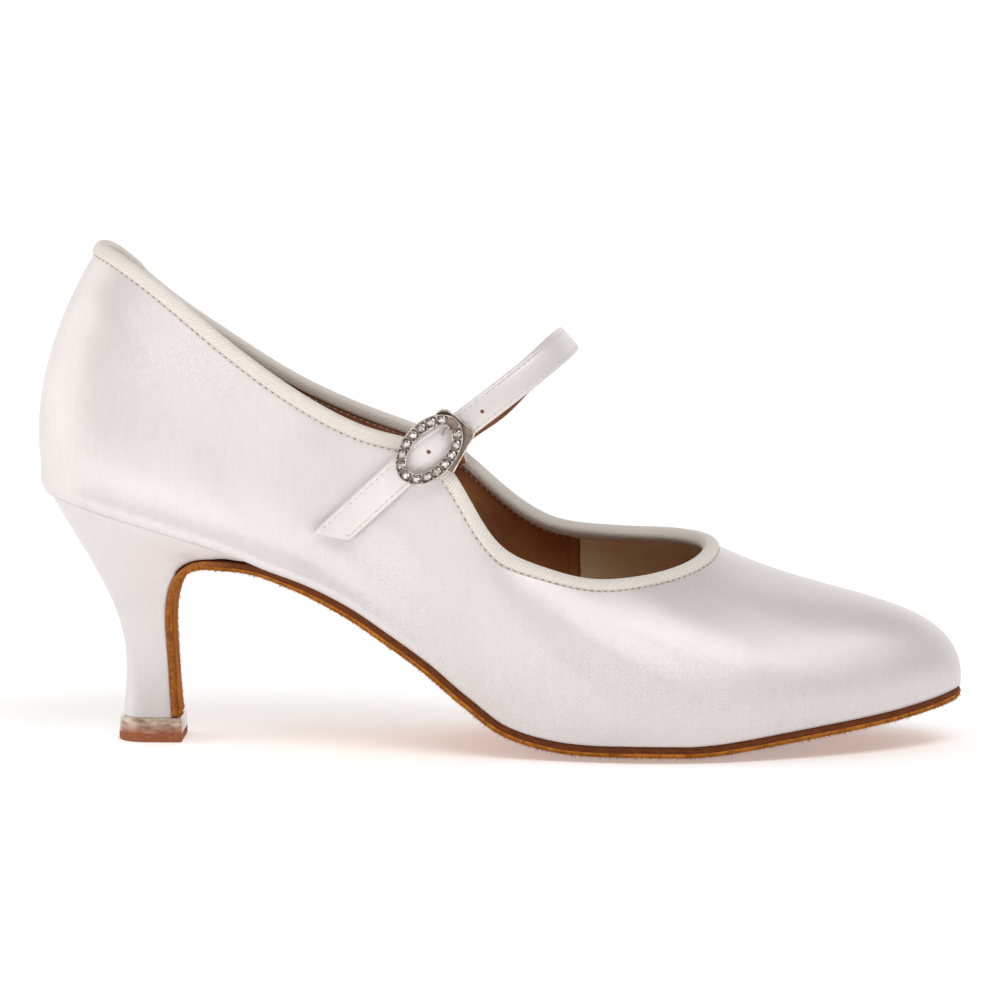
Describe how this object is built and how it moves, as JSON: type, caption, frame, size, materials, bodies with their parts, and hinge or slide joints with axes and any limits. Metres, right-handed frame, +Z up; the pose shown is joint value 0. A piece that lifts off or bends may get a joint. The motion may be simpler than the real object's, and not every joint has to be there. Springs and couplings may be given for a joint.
{
  "type": "ballroom dance shoe",
  "caption": "Right ballroom court shoe with a satin upper, bound collar, flared heel, suede sole and an instep strap fastened by an oval stone-set buckle.",
  "frame": {"origin": "middle of the bounding box, on the floor that the shoe stands on", "axes": "+X from heel to toe, +Y from the outer to the inner side of the foot, +Z up"},
  "size_m": [0.2404, 0.0784, 0.1303],
  "materials": {
    "satin": "white satin with a soft sheen",
    "binding": "cream ribbed tape",
    "lining": "soft pale lining",
    "leather": "brown lining leather",
    "suede": "brushed tan suede",
    "clear_plastic": "clear moulded plastic",
    "silver": "darkened silver plate",
    "stone_glass": "clear cut stones"
  },
  "bodies": {
    "root": {"upper": "satin", "topline_binding": "binding", "heel_grip": "lining", "insole": "leather", "sole": "suede", "heel": "satin", "heel_cap": "clear_plastic", "heel_lift": "suede", "strap": "satin", "buckle_frame": "silver", "buckle_bail": "silver", "buckle_prong": "silver", "stone_01": "stone_glass", "stone_02": "stone_glass", "stone_03": "stone_glass", "stone_04": "stone_glass", "stone_05": "stone_glass", "stone_06": "stone_glass", "stone_07": "stone_glass", "stone_08": "stone_glass", "stone_09": "stone_glass", "stone_10": "stone_glass", "stone_11": "stone_glass", "stone_12": "stone_glass", "stone_13": "stone_glass", "stone_14": "stone_glass", "stone_15": "stone_glass"}
  },
  "joints": []
}
